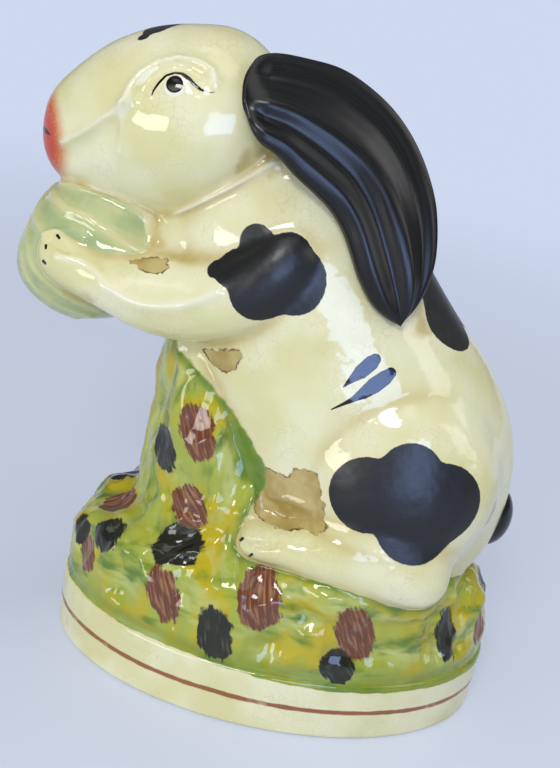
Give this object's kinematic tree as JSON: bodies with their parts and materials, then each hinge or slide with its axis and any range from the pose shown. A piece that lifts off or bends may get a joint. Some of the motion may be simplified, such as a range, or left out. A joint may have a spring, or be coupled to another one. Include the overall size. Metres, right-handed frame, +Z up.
{
  "type": "rabbit figurine",
  "caption": "Seated lop-eared rabbit figurine nibbling a lettuce leaf, in glazed cream earthenware on a grassy mound and oval plinth",
  "frame": {"origin": "middle of the plinth's flat underside", "axes": "+Z up; the rabbit looks along -X; its left side faces -Y"},
  "size_m": [0.1745, 0.095, 0.2042],
  "materials": {
    "cream_glaze": "clear crackled lead glaze over cream earthenware, with hand-painted enamel",
    "black_enamel": "black enamel with brush marks, satin gloss",
    "grass_glaze": "green and yellow washes with brown and black dabs under a glossy glaze",
    "leaf_glaze": "thin celadon wash under a glossy glaze",
    "bisque": "unglazed fired clay"
  },
  "bodies": {
    "root": {"plinth": "cream_glaze", "base_plate": "bisque", "mound": "grass_glaze", "torso_left_half": "cream_glaze", "torso_right_half": "cream_glaze", "head_left_half": "cream_glaze", "head_right_half": "cream_glaze", "ear_left": "black_enamel", "ear_right": "black_enamel", "foreleg_left": "cream_glaze", "foreleg_right": "cream_glaze", "hind_leg_left": "cream_glaze", "hind_leg_right": "cream_glaze", "lettuce": "leaf_glaze", "tail": "black_enamel"}
  },
  "joints": []
}
